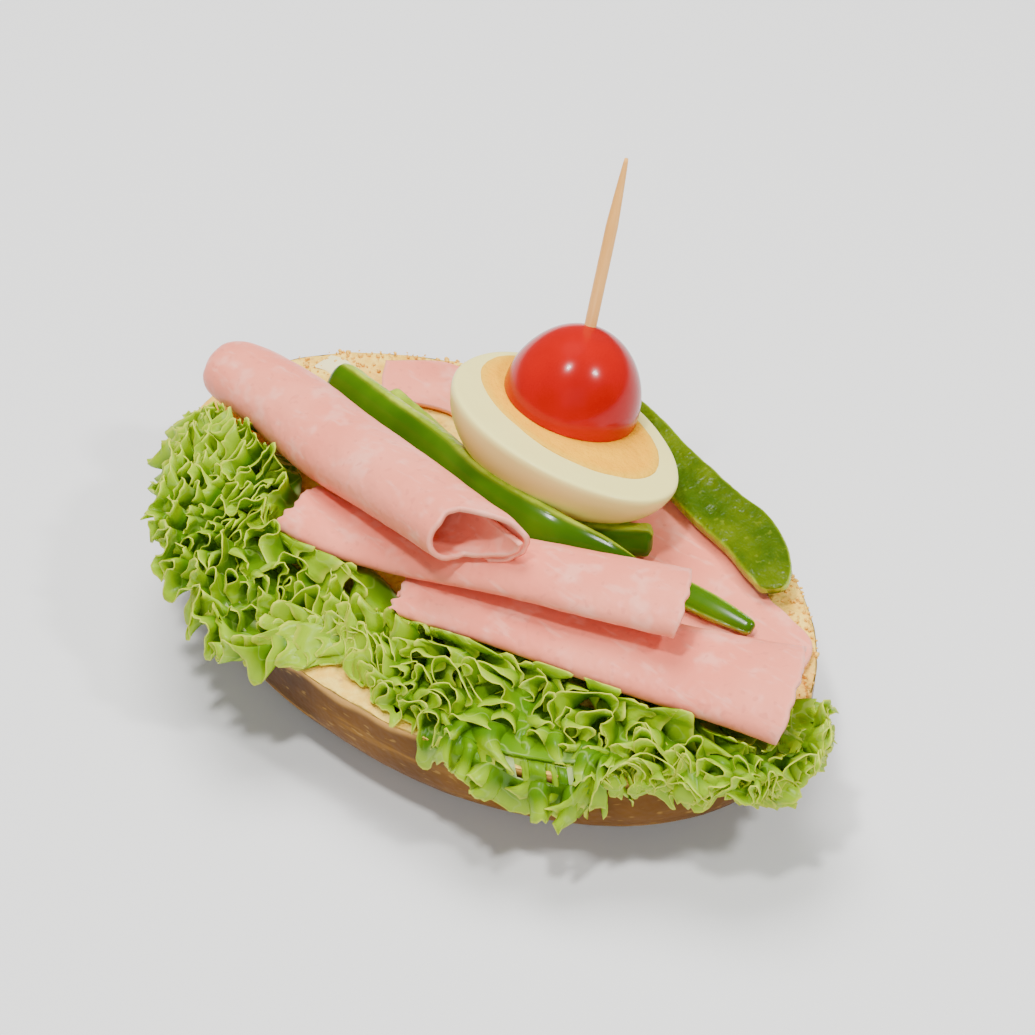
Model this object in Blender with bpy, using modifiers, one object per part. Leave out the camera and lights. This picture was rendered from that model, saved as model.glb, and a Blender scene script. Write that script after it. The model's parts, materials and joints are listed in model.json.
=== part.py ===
"""Open sandwich: the bottom half of an oval bread roll with frilly lettuce, three rolled and two flat slices
of cooked ham, four strips of green pepper, and a boiled egg half pinned down by a cocktail stick that also
holds a cherry tomato half.

The roll's long axis is X and up is Z. The origin is the middle of the roll's flat underside. Metres.
"""

import math

import bmesh
import bpy
import numpy as np
from mathutils import Matrix, Vector, noise

MM = 0.001
GAP = 0.3 * MM

# Bread roll, bottom half
BREAD_LENGTH = 165 * MM
BREAD_WIDTH = 105.6 * MM
BREAD_HEIGHT = 26 * MM
BREAD_SIDE_POWER = 4.0
BREAD_BASE_LIFT = 0.8 * MM
BREAD_CRUMB_DOME = 0.4 * MM
BREAD_CRUMB_BUMP = 0.25 * MM
BREAD_CRUST_BUMP = 0.5 * MM

# Ham
HAM_THICKNESS = 1.2 * MM
HAM_LAYER_PITCH = 1.8 * MM
ROLL_ROWS = 8
ROLL_COLUMNS = 19
SLICE_HEIGHT = 27.2 * MM

# Egg half: seen from its cut face, which leans back by the direction of EGG_UP
EGG_LENGTH = 57.3 * MM
EGG_WIDTH = 43.5 * MM
EGG_DEPTH = 18.6 * MM
EGG_TAPER = 0.117
EGG_FACE_CENTRE = Vector((2.7, 24.15, 48.0)) * MM
EGG_UP = Vector((0.12, 0.302, 0.946)).normalized()
EGG_TURN = math.radians(-1)
YOLK_LENGTH = 47 * MM
YOLK_WIDTH = 31 * MM
YOLK_DEPTH = 11.5 * MM
YOLK_SHIFT = (-2.2 * MM, 2.4 * MM)

# Tomato half and cocktail stick
TOMATO_RADIUS = 15.2 * MM
TOMATO_HEIGHT = 18 * MM
TOMATO_BASE = Vector((-3.1, 30.6, 46.95)) * MM
STICK_LENGTH = 80 * MM
STICK_RADIUS = 1.35 * MM
STICK_POINT = 14 * MM
STICK_TIP_RADIUS = 0.35 * MM
STICK_AXIS = Vector((-0.076, 0.357, 0.931)).normalized()
STICK_TOP = Vector((-7.4, 51.8, 98.2)) * MM

# Lettuce: tiers of frill that stand on a leaf lying over the roll's front edge
LEAF_THICKNESS = 1.2 * MM
LEAF_HEIGHT = 27.5 * MM
FRILL_THICKNESS = 0.9 * MM
FRILL_TIERS = 3
FRILL_WAVES = 13
FRILL_SAMPLES = 6
FRILL_ROWS = 2
FRILL_SWING = math.radians(100)
FRILL_SEED = 14
SCRAP_SIZE = 0.02 * MM


def mm(*values):
    """A vector given in millimetres."""
    return Vector(values) * MM


def clear_scene():
    """Removes whatever the scene holds."""
    for obj in list(bpy.data.objects):
        bpy.data.objects.remove(obj, do_unlink=True)


def make_collection(name):
    """A collection linked to the scene."""
    made = bpy.data.collections.new(name)
    bpy.context.scene.collection.children.link(made)
    return made


def make_material(name, colour, roughness):
    """A plain Principled material."""
    material = bpy.data.materials.new(name)
    material.use_nodes = True
    shader = material.node_tree.nodes["Principled BSDF"]
    shader.inputs["Base Color"].default_value = (*colour, 1)
    shader.inputs["Roughness"].default_value = roughness
    shader.inputs["Metallic"].default_value = 0
    return material


def mesh_object(name, bm, collection, material=None):
    """An object that takes over a bmesh, with its faces pointing out and smooth apart from real edges."""
    mesh = bpy.data.meshes.new(name)
    bmesh.ops.recalc_face_normals(bm, faces=bm.faces)
    bm.to_mesh(mesh)
    bm.free()
    mesh.shade_smooth()
    mesh.set_sharp_from_angle(angle=math.radians(40))
    obj = bpy.data.objects.new(name, mesh)
    collection.objects.link(obj)
    if material:
        mesh.materials.append(material)
    return obj


def apply_modifiers(obj):
    """Replaces the object's mesh by what its modifiers make of it."""
    bpy.context.view_layer.update()
    evaluated = obj.evaluated_get(bpy.context.evaluated_depsgraph_get())
    mesh = bpy.data.meshes.new_from_object(evaluated)
    obj.modifiers.clear()
    old = obj.data
    obj.data = mesh
    bpy.data.meshes.remove(old)


def cut(obj, cutter, solver="EXACT"):
    """Takes the cutter's solid out of the object's, and removes the cutter."""
    boolean = obj.modifiers.new("cut", "BOOLEAN")
    boolean.operation = "DIFFERENCE"
    boolean.solver = solver
    boolean.object = cutter
    apply_modifiers(obj)
    bpy.data.objects.remove(cutter, do_unlink=True)


def spline(points, count):
    """Count rows, evenly spaced along a smooth curve through rows of numbers whose first three are a place."""
    rows = np.array(points, float)
    ends = np.vstack([2 * rows[0] - rows[1], rows, 2 * rows[-1] - rows[-2]])
    fine = []
    for i in range(1, len(ends) - 2):
        before, start, end, after = ends[i - 1 : i + 3]
        for t in np.linspace(0, 1, 24, endpoint=False):
            fine.append(
                0.5
                * (
                    2 * start
                    + (end - before) * t
                    + (2 * before - 5 * start + 4 * end - after) * t**2
                    + (3 * start - before - 3 * end + after) * t**3
                )
            )
    fine.append(rows[-1])
    fine = np.array(fine)
    steps = np.linalg.norm(np.diff(fine[:, :3], axis=0), axis=1)
    travelled = np.concatenate([[0], np.cumsum(steps)])
    wanted = np.linspace(0, travelled[-1], count)
    return np.stack([np.interp(wanted, travelled, fine[:, k]) for k in range(fine.shape[1])], axis=1)


def frames_along(centres):
    """For points along a curve, the unit directions (forward, sideways to the right, upwards) at each."""
    forward = np.gradient(np.array(centres), axis=0)
    made = []
    for row in forward:
        ahead = Vector(row).normalized()
        side = ahead.cross(Vector((0, 0, 1))).normalized()
        made.append((ahead, side, side.cross(ahead)))
    return made


def closed_loft(name, rings, collection, material=None):
    """A closed solid through rings of points, with a flat cap on each end."""
    bm = bmesh.new()
    rows = [[bm.verts.new(point) for point in ring] for ring in rings]
    count = len(rows[0])
    for near, far in zip(rows, rows[1:]):
        for k in range(count):
            bm.faces.new((near[k], near[(k + 1) % count], far[(k + 1) % count], far[k]))
    bm.faces.new(list(reversed(rows[0])))
    bm.faces.new(rows[-1])
    return mesh_object(name, bm, collection, material)


def sheet_object(name, grid, thickness, collection, material=None):
    """A thin solid whose middle surface is a grid of points. Both faces are split into triangles alike."""
    bm = bmesh.new()
    rows = [[bm.verts.new(point) for point in row] for row in grid]
    for near, far in zip(rows, rows[1:]):
        for k in range(len(near) - 1):
            bm.faces.new((near[k], near[k + 1], far[k + 1], far[k]))
    bmesh.ops.triangulate(bm, faces=bm.faces)
    obj = mesh_object(name, bm, collection, material)
    solidify = obj.modifiers.new("thickness", "SOLIDIFY")
    solidify.thickness = thickness
    solidify.offset = 0
    return obj


# Bread


def bread_radius(angle, grow=0.0):
    """How far the roll's rim is from its middle, in a direction seen from above."""
    along = BREAD_LENGTH / 2 + grow
    across = BREAD_WIDTH / 2 + grow
    return along * across / math.hypot(across * math.cos(angle), along * math.sin(angle))


def bread_point(direction, grow=0.0, relief=1.0):
    """The point of the roll's surface for a direction of the unit ball: crust below its middle, crumb above."""
    level = math.sqrt(max(0.0, 1 - direction.z**2))
    angle = math.atan2(direction.y, direction.x)
    rough = noise.noise(Vector((3 * direction.x, 5 * direction.y, 9 * direction.z))) * relief
    if direction.z <= 0:
        share = level ** (2 / BREAD_SIDE_POWER)
        depth = abs(direction.z) ** (2 / BREAD_SIDE_POWER)
        radius = share * (bread_radius(angle, grow) + BREAD_CRUST_BUMP * rough)
        height = (BREAD_HEIGHT + grow) * (1 - depth)
        if height < BREAD_BASE_LIFT:
            height = 0
    else:
        share = level**0.8
        radius = share * (bread_radius(angle, grow) + BREAD_CRUST_BUMP * rough)
        crumb = noise.noise(Vector((math.cos(angle), math.sin(angle), 0)) * share * 9) * relief
        height = BREAD_HEIGHT + grow + BREAD_CRUMB_DOME * (1 - share**2) + BREAD_CRUMB_BUMP * crumb
    return Vector((radius * math.cos(angle), radius * math.sin(angle), height))


def make_bread(collection, name="bread", material=None, grow=0.0, relief=1.0):
    """The roll half: an oval with a boxy crust side, a flat underside and a slightly domed, rough crumb."""
    bm = bmesh.new()
    bmesh.ops.create_uvsphere(bm, u_segments=42, v_segments=16, radius=1)
    for vertex in bm.verts:
        vertex.co = bread_point(vertex.co.normalized(), grow, relief)
    return mesh_object(name, bm, collection, material)


# Ham

# Each roll's stations: x, y, z of its middle, half its width and half its height, in millimetres
HAM_ROLLS = {
    "ham_roll_back": [
        (-78.6, -4.4, 35.6, 5.6, 4.8),
        (-74.0, -4.4, 36.4, 9.4, 7.4),
        (-55.0, -5.6, 37.9, 10.8, 8.3),
        (-36.0, -9.6, 40.6, 11.2, 8.4),
        (-12.5, -13.6, 45.2, 10.6, 8.1),
        (11.8, -18.4, 50.2, 9.7, 7.4),
    ],
    "ham_roll_middle": [
        (-36.0, -26.4, 33.2, 7.4, 4.6),
        (-20.0, -24.8, 33.8, 7.2, 4.0),
        (-4.4, -21.2, 35.6, 7.2, 3.7),
        (17.9, -13.9, 40.6, 8.0, 4.6),
        (39.5, -6.7, 43.9, 9.2, 5.4),
        (57.8, 0.8, 45.7, 10.0, 5.8),
    ],
    "ham_roll_front": [
        (-7.4, -32.2, 31.2, 5.2, 2.8),
        (22.9, -19.9, 32.2, 7.4, 4.0),
        (44.5, -12.4, 33.2, 9.4, 5.0),
        (64.7, -4.2, 34.2, 11.6, 5.6),
        (84.9, 4.0, 35.6, 14.2, 7.2),
    ],
}
# How far the back wall of each roll reaches on past its right end, in millimetres
ROLL_END_REACH = {"ham_roll_back": 11, "ham_roll_middle": 0, "ham_roll_front": 0}
ROLL_TURNS = 1.2
ROLL_SEAM = math.radians(-110)
# Rolls whose inner edge stands up inside them instead of lying against the wall
ROLLS_FOLDED_IN = ("ham_roll_front",)


def roll_rows(stations):
    """Middle, forward, side, up, half width and half height at each row along a roll."""
    rows = spline([[v * MM for v in station] for station in stations], ROLL_ROWS)
    frames = frames_along(rows[:, :3])
    return [(Vector(row[:3]), *frame, row[3], row[4]) for row, frame in zip(rows, frames)]


def make_ham_roll(name, stations, collection, material):
    """A slice rolled up once and a bit: its seam lies underneath and its inner end is tucked inside."""
    grid = []
    rows = roll_rows(stations)
    folded = name in ROLLS_FOLDED_IN
    seam = math.radians(-90) if folded else ROLL_SEAM
    for middle, ahead, side, up, half_width, half_height in rows:
        last = middle == rows[-1][0]
        row = []
        for k in range(ROLL_COLUMNS + 1):
            turned = ROLL_TURNS * k / ROLL_COLUMNS
            inwards = HAM_THICKNESS / 2 + HAM_LAYER_PITCH * turned
            angle = seam - 2 * math.pi * turned
            across = side * (half_width - inwards) * math.cos(angle)
            height = (half_height - inwards) * math.sin(angle)
            if folded and turned > 1:
                stood = (turned - 1) / (ROLL_TURNS - 1)
                across = Vector()
                height = (half_height - inwards) * (2 * stood - 1) - stood * HAM_THICKNESS / 2
            reach = ahead * ROLL_END_REACH[name] * MM * max(0, -math.cos(angle)) * last
            row.append(middle + across + reach + up * height)
        grid.append(row)
    return sheet_object(name, grid, HAM_THICKNESS, collection, material)


def roll_envelope(name, stations, clearance, collection):
    """A plain solid that holds a whole roll, with clearance all round and past both ends."""
    rings = []
    rows = roll_rows(stations)
    for k, (middle, ahead, side, up, half_width, half_height) in enumerate(rows):
        push = {0: -2 * clearance, len(rows) - 1: 2 * clearance}.get(k, 0)
        ring = []
        for step in range(16):
            angle = 2 * math.pi * step / 16
            across = side * (half_width + 1.6 * clearance) * math.cos(angle)
            rise = up * (half_height + 1.6 * clearance) * math.sin(angle)
            ring.append(middle + ahead * push + across + rise)
        rings.append(ring)
    return closed_loft(name, rings, collection)


# Outlines of the two flat slices, x and y in millimetres
HAM_SLICES = {
    "ham_slice_right": [(9, 22), (23, 41), (43, 33.5), (57, 28.4), (72.5, 23.5), (70, 12), (40, 8), (16, 13)],
    "ham_slice_left": [(-59.5, 29.0), (-46.3, 38.6), (-20, 42), (-14, 34), (-30, 27.5), (-38.2, 25.8), (-51.0, 21.0)],
}


def make_ham_slice(name, outline, collection, material):
    """A slice lying flat: its outline, filled and as thick as the ham."""
    curve = bpy.data.curves.new(name, "CURVE")
    curve.dimensions = "2D"
    curve.fill_mode = "BOTH"
    curve.extrude = HAM_THICKNESS / 2
    line = curve.splines.new("POLY")
    line.points.add(len(outline) - 1)
    for point, (x, y) in zip(line.points, outline):
        point.co = (x * MM, y * MM, 0, 1)
    line.use_cyclic_u = True
    obj = bpy.data.objects.new(name, curve)
    obj.location.z = SLICE_HEIGHT + HAM_THICKNESS / 2
    collection.objects.link(obj)
    curve.materials.append(material)
    return obj


# Pepper

# Each strip's stations: x, y, z of its middle, width, wall thickness in millimetres, and the lean of its skin
# in degrees, 0 for skin on top, 90 for skin towards -Y and 180 for skin underneath
PEPPER_STRIPS = {
    "pepper_front": [
        (-58.2, 12.0, 34.0, 6.0, 3.4, 52),
        (-55.0, 11.4, 34.2, 9.6, 4.0, 52),
        (-40.0, 9.6, 34.6, 10.5, 4.4, 52),
        (-20.0, 6.6, 36.4, 11.0, 4.6, 52),
        (-2.0, 1.4, 39.6, 11.0, 4.6, 52),
        (16.0, 2.6, 39.4, 10.0, 4.2, 50),
        (27.0, 8.4, 36.4, 6.5, 3.4, 48),
        (33.0, 13.2, 33.2, 2.0, 1.6, 46),
    ],
    "pepper_middle": [
        (-46.0, 17.2, 31.6, 6.0, 4.2, 84),
        (-36.0, 15.4, 31.8, 7.0, 4.8, 84),
        (-20.0, 13.0, 31.4, 6.8, 5.0, 84),
        (0.0, 12.0, 31.6, 6.4, 5.2, 84),
        (16.0, 12.4, 32.4, 7.0, 5.2, 78),
        (29.5, 21.4, 32.6, 7.0, 4.4, 74),
    ],
    "pepper_back": [
        (-12.0, 49.0, 32.9, 8.0, 4.2, 200),
        (0.6, 47.8, 33.3, 9.4, 4.6, 203),
        (15.8, 43.0, 32.7, 11.0, 4.8, 198),
        (31.0, 39.2, 32.3, 12.0, 5.0, 194),
        (43.0, 37.0, 32.1, 12.6, 5.0, 191),
        (52.0, 32.6, 31.9, 10.6, 4.6, 188),
        (57.5, 28.2, 31.7, 6.0, 3.0, 185),
    ],
    "pepper_tip": [
        (35.0, 13.8, 31.2, 6.0, 3.4, 30),
        (43.0, 14.8, 31.0, 6.0, 3.4, 30),
        (52.0, 16.0, 30.8, 5.4, 3.2, 30),
        (61.0, 17.2, 30.4, 3.4, 2.4, 30),
    ],
}
PEPPER_ROWS = 12
PEPPER_SIDES = 8
PEPPER_BOW = 0.16
PEPPERS_UNDER_EGG = ("pepper_front", "pepper_middle")


def pepper_rings(stations, rows=PEPPER_ROWS, sides=PEPPER_SIDES, grow=0.0):
    """Rings of a strip of pepper wall: a bar with rounded edges whose skin side bows out."""
    table = spline([[v * MM for v in station[:5]] + [station[5]] for station in stations], rows)
    rings = []
    for row, (ahead, _, _) in zip(table, frames_along(table[:, :3])):
        lean = math.radians(row[5])
        skin = Vector((0, -math.sin(lean), math.cos(lean)))
        skin = (skin - ahead * skin.dot(ahead)).normalized()
        across = ahead.cross(skin)
        half_width = row[3] / 2 + grow
        half_wall = row[4] / 2 + grow
        ring = []
        for k in range(sides):
            angle = 2 * math.pi * (k + 0.5) / sides
            u = math.copysign(abs(math.cos(angle)) ** 0.7, math.cos(angle))
            v = math.copysign(abs(math.sin(angle)) ** 0.7, math.sin(angle))
            bow = PEPPER_BOW * half_width * (1 - u * u)
            ring.append(Vector(row[:3]) + across * half_width * u + skin * (half_wall * v + bow))
        rings.append(ring)
    return rings


def make_pepper(name, stations, collection, cutters, material):
    """A strip of pepper, hollowed where the egg presses on it."""
    strip = closed_loft(name, pepper_rings(stations), collection, material)
    if name in PEPPERS_UNDER_EGG:
        cut(strip, egg_space(cutters))
    return strip


# Egg, tomato and stick


def egg_matrix():
    """Carries the egg's own frame, long axis X and cut face up at z 0, to its place on the roll."""
    turn = EGG_UP.to_track_quat("Z", "Y").to_matrix().to_4x4()
    long_axis = turn.inverted() @ Vector((math.cos(EGG_TURN), math.sin(EGG_TURN), 0))
    spin = Matrix.Rotation(math.atan2(long_axis.y, long_axis.x), 4, "Z")
    return Matrix.Translation(EGG_FACE_CENTRE) @ turn @ spin


def half_ball(name, half_sizes, taper, segments, collection, material=None, lift=0.0, shift=(0.0, 0.0)):
    """The part below z = lift of a ball stretched to half_sizes, narrower towards +X by the taper, closed."""
    bm = bmesh.new()
    bmesh.ops.create_uvsphere(bm, u_segments=segments, v_segments=segments // 2, radius=1)
    for vertex in bm.verts:
        narrow = 1 - taper * vertex.co.x
        x, y, z = half_sizes
        stretched = (vertex.co.x * x + shift[0], vertex.co.y * y * narrow + shift[1], vertex.co.z * z * narrow)
        vertex.co = Vector(stretched)
    geometry = bm.verts[:] + bm.edges[:] + bm.faces[:]
    bmesh.ops.bisect_plane(
        bm, geom=geometry, dist=1e-7, plane_co=(0, 0, lift), plane_no=(0, 0, 1), clear_outer=True
    )
    bmesh.ops.holes_fill(bm, edges=[e for e in bm.edges if e.is_boundary])
    return mesh_object(name, bm, collection, material)


def egg_space(collection):
    """A cutter a little larger than the egg half."""
    sizes = (EGG_LENGTH / 2 + GAP, EGG_WIDTH / 2 + GAP, EGG_DEPTH + GAP)
    space = half_ball("egg_space", sizes, EGG_TAPER, 24, collection, lift=GAP)
    space.matrix_world = egg_matrix()
    return space


def stick_solid(name, radius, collection, material=None, sides=12):
    """The cocktail stick, pointed at both ends: a profile turned about its axis."""
    profile = [
        (0, STICK_LENGTH),
        (STICK_TIP_RADIUS, STICK_LENGTH),
        (radius * 0.72, STICK_LENGTH - STICK_POINT * 0.55),
        (radius, STICK_LENGTH - STICK_POINT),
        (radius, STICK_POINT),
        (radius * 0.72, STICK_POINT * 0.55),
        (STICK_TIP_RADIUS, 0),
        (0, 0),
    ]
    mesh = bpy.data.meshes.new(name)
    mesh.from_pydata([(x, 0, z) for x, z in profile], [(k, k + 1) for k in range(len(profile) - 1)], [])
    obj = bpy.data.objects.new(name, mesh)
    collection.objects.link(obj)
    screw = obj.modifiers.new("turn", "SCREW")
    screw.steps = screw.render_steps = sides
    screw.use_merge_vertices = True
    screw.merge_threshold = 0.02 * MM
    obj.rotation_mode = "QUATERNION"
    obj.rotation_quaternion = STICK_AXIS.to_track_quat("Z", "Y")
    obj.location = STICK_TOP - STICK_AXIS * STICK_LENGTH
    if material:
        mesh.materials.append(material)
    return obj


def stick_hole(collection):
    """A cutter for the stick's hole: a rod a little wider than the stick."""
    bm = bmesh.new()
    bmesh.ops.create_cone(
        bm,
        cap_ends=True,
        segments=12,
        radius1=STICK_RADIUS + GAP,
        radius2=STICK_RADIUS + GAP,
        depth=STICK_LENGTH + 2 * GAP,
    )
    rod = mesh_object("stick_hole", bm, collection)
    rod.rotation_mode = "QUATERNION"
    rod.rotation_quaternion = STICK_AXIS.to_track_quat("Z", "Y")
    rod.location = STICK_TOP - STICK_AXIS * STICK_LENGTH / 2
    return rod


def make_egg_white(collection, cutters, material):
    """The white: an egg half with the yolk's hollow and the stick's hole."""
    white = half_ball(
        "egg_white", (EGG_LENGTH / 2, EGG_WIDTH / 2, EGG_DEPTH), EGG_TAPER, 24, collection, material
    )
    white.matrix_world = egg_matrix()
    hollow = half_ball(
        "yolk_hollow",
        (YOLK_LENGTH / 2 + GAP, YOLK_WIDTH / 2 + GAP, YOLK_DEPTH + GAP),
        0.04,
        24,
        cutters,
        lift=2 * MM,
        shift=YOLK_SHIFT,
    )
    hollow.matrix_world = egg_matrix()
    cut(white, hollow)
    cut(white, stick_hole(cutters))
    return white


def make_egg_yolk(collection, cutters, material):
    """The yolk, level with the cut face of the white."""
    yolk = half_ball(
        "egg_yolk",
        (YOLK_LENGTH / 2, YOLK_WIDTH / 2, YOLK_DEPTH),
        0.04,
        24,
        collection,
        material,
        shift=YOLK_SHIFT,
    )
    yolk.matrix_world = egg_matrix()
    cut(yolk, stick_hole(cutters))
    return yolk


def make_tomato(collection, cutters, material):
    """The tomato half: a dome whose cut face rests on the egg."""
    tomato = half_ball("tomato", (TOMATO_RADIUS, TOMATO_RADIUS, TOMATO_HEIGHT), 0, 24, collection, material)
    flip = Matrix.Rotation(math.pi, 4, "X")
    turn = EGG_UP.to_track_quat("Z", "Y").to_matrix().to_4x4()
    tomato.matrix_world = Matrix.Translation(TOMATO_BASE) @ turn @ flip
    cut(tomato, stick_hole(cutters))
    return tomato


# Lettuce

# From the left end of the roll round its front to the right end, in millimetres: the margin of the outermost
# frill (x, y, z), the margin of the innermost frill (x, y, z), and the root of the outermost frill (x, y)
LETTUCE_STATIONS = [
    (-72.5, -14.6, 34.5, -71.9, -16.2, 32.0, -66, -13),
    (-72.5, -26.7, 35.5, -66.6, -21.4, 32.5, -62, -21),
    (-61.1, -43.3, 35.0, -55.6, -27.6, 32.5, -53, -30),
    (-46.7, -55.3, 34.0, -45.8, -32.9, 32.5, -42, -38),
    (-30.6, -61.5, 31.0, -37.3, -39.5, 31.5, -29, -44),
    (-20.6, -65.0, 29.0, -27.3, -41.5, 31.5, -19, -47),
    (-11.9, -65.0, 27.5, -18.1, -42.0, 31.5, -11, -48),
    (-8.2, -57.5, 27.5, -10.1, -42.3, 31.5, -4, -47),
    (1.9, -52.4, 29.5, -0.7, -42.4, 31.5, 4, -43),
    (16.8, -53.9, 28.5, 10.5, -40.5, 31.0, 15, -44),
    (31.6, -52.0, 27.5, 22.3, -37.2, 31.0, 27, -43),
    (39.8, -52.0, 21.5, 31.9, -34.9, 31.0, 37, -43),
    (47.4, -49.7, 18.0, 41.1, -32.3, 31.0, 44, -41),
    (55.9, -45.1, 16.0, 50.3, -29.7, 31.5, 52, -37),
    (64.1, -39.3, 17.5, 59.7, -27.0, 31.5, 59, -32),
    (68.5, -33.5, 26.0, 68.1, -24.6, 30.5, 62, -27),
    (73.6, -28.8, 27.5, 75.3, -22.5, 29.5, 67, -23),
    (81.6, -25.9, 22.0, 83.2, -20.0, 29.5, 73, -18),
    (85.2, -16.8, 24.5, 89.8, -15.2, 28.0, 76, -13),
    (90.0, -8.7, 17.0, 91.5, -9.1, 27.5, 78, -8),
    (93.5, -4.0, 18.0, 92.5, -4.0, 27.5, 80, -4),
    (93.4, 3.7, 23.5, 92.0, 1.2, 28.0, 80, 1),
    (91.2, 9.9, 27.5, 89.9, 6.4, 29.0, 80, 5),
    (85.3, 12.7, 29.5, 85.9, 11.4, 30.0, 78, 9),
]
INNER_ROOT_STEP = 3.5 * MM
FRILL_REACH_VARIATION = 0.2


def lettuce_lines(count):
    """The margins of the outermost and innermost frill and the roots of both, as count points each."""
    rows = spline([[v * MM for v in station] for station in LETTUCE_STATIONS], count)
    outer, inner = rows[:, :3], rows[:, 3:6]
    outer_root = np.column_stack([rows[:, 6:8], np.full(count, LEAF_HEIGHT)])
    inwards = outer_root[:, :2] - outer[:, :2]
    inwards /= np.linalg.norm(inwards, axis=1)[:, None]
    inner_root = np.column_stack([inner[:, :2] + inwards * INNER_ROOT_STEP, np.full(count, LEAF_HEIGHT)])
    return outer, inner, outer_root, inner_root


def meander(swing, seed):
    """A line that winds like a river: how far each sample is along and across, both as shares of the length."""
    samples = FRILL_WAVES * FRILL_SAMPLES
    drift = np.array([noise.noise(Vector((k / FRILL_SAMPLES * 0.45, seed, 0.5))) for k in range(samples)])
    vigour = np.array([noise.noise(Vector((k / FRILL_SAMPLES * 0.3, seed, 7.5))) for k in range(samples)])
    phase = 2 * math.pi * (np.arange(samples) + 0.5) / FRILL_SAMPLES + 2.2 * drift
    heading = swing * (1 + 0.35 * vigour) * np.sin(phase)
    along = np.concatenate([[0], np.cumsum(np.cos(heading))])
    across = np.concatenate([[0], np.cumsum(np.sin(heading))])
    across -= np.linspace(0, across[-1], len(across))
    return along / along[-1], across / along[-1]


def smoothed(line, span):
    """A line of points, each the mean of its neighbourhood."""
    wide = np.vstack([np.repeat(line[:1], span, axis=0), line, np.repeat(line[-1:], span, axis=0)])
    kernel = np.ones(2 * span + 1) / (2 * span + 1)
    return np.stack([np.convolve(wide[:, i], kernel, "valid") for i in range(line.shape[1])], axis=1)


def frill_grid(tier, lines):
    """The middle surface of one tier of frill: straight at its root, winding more and more towards its margin."""
    outer, inner, outer_root, inner_root = lines
    share = tier / (FRILL_TIERS - 1)
    margin = inner * (1 - share) + outer * share
    root = inner_root * (1 - share) + outer_root * share
    length = np.linalg.norm(np.diff(smoothed(margin, 6), axis=0), axis=1).sum()
    forward = np.gradient(smoothed(margin, 8), axis=0)
    arch = np.maximum(0, LEAF_HEIGHT - margin[:, 2]) * 0.8
    places = np.linspace(0, 1, len(margin))
    grid = []
    for k in range(FRILL_ROWS + 1):
        outward = k / FRILL_ROWS
        along, across = meander(FRILL_SWING * outward**0.7, FRILL_SEED + tier)
        row = []
        for a, c in zip(along, across):
            start, end, ahead = (
                Vector([np.interp(a, places, line[:, i]) for i in range(3)]) for line in (root, margin, forward)
            )
            reach = outward * (1 + FRILL_REACH_VARIATION * noise.noise(Vector((a * 24, tier, 3))))
            ruffle = (end - start).cross(ahead).normalized()
            rise = Vector((0, 0, np.interp(a, places, arch) * math.sin(math.pi * outward)))
            row.append(start.lerp(end, reach) + rise + ruffle * c * length)
        grid.append(row)
    return grid


def leaf_grid(lines):
    """The leaf under the frills, flat on the crumb."""
    _, _, outer_root, inner_root = lines
    grid = []
    for share in (0, 0.33, 0.67, 1.05):
        line = (inner_root * (1 - share) + outer_root * share)[::4]
        grid.append([Vector(point) for point in line])
    return grid


def keep_largest(obj):
    """Keeps the largest closed skin, so that loose scraps go and sealed hollows are filled."""
    bm = bmesh.new()
    bm.from_mesh(obj.data)
    bmesh.ops.triangulate(bm, faces=bm.faces)
    bmesh.ops.dissolve_degenerate(bm, edges=bm.edges, dist=SCRAP_SIZE)
    bmesh.ops.triangulate(bm, faces=bm.faces)
    skins = []
    unseen = set(bm.faces)
    while unseen:
        skin = set()
        reached = [unseen.pop()]
        while reached:
            face = reached.pop()
            skin.add(face)
            for edge in face.edges:
                if len(edge.link_faces) == 2:
                    found = set(edge.link_faces) & unseen
                    unseen -= found
                    reached.extend(found)
        skins.append(skin)
    largest = max(skins, key=len)
    bmesh.ops.delete(bm, geom=[f for f in bm.faces if f not in largest], context="FACES")
    bm.to_mesh(obj.data)
    bm.free()


def make_lettuce(collection, cutters, material):
    """The lettuce: a leaf with tiers of frill fused on, cut clear of the bread and of the rolled ham."""
    lines = lettuce_lines(121)
    leaf = sheet_object("lettuce", leaf_grid(lines), LEAF_THICKNESS, collection, material)
    frills = bpy.data.collections.new("frills")
    bpy.context.scene.collection.children.link(frills)
    for tier in range(FRILL_TIERS):
        sheet_object(f"frill_{tier}", frill_grid(tier, lines), FRILL_THICKNESS, frills)
    union = leaf.modifiers.new("fuse", "BOOLEAN")
    union.operation = "UNION"
    union.operand_type = "COLLECTION"
    union.collection = frills
    union.solver = "MANIFOLD"
    apply_modifiers(leaf)
    for obj in list(frills.objects):
        bpy.data.objects.remove(obj, do_unlink=True)
    bpy.data.collections.remove(frills)
    cut(leaf, make_bread(cutters, "bread_space", grow=2 * GAP, relief=0), "MANIFOLD")
    for name, stations in HAM_ROLLS.items():
        cut(leaf, roll_envelope(name + "_space", stations, 2 * GAP, cutters), "MANIFOLD")
    keep_largest(leaf)
    return leaf


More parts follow.
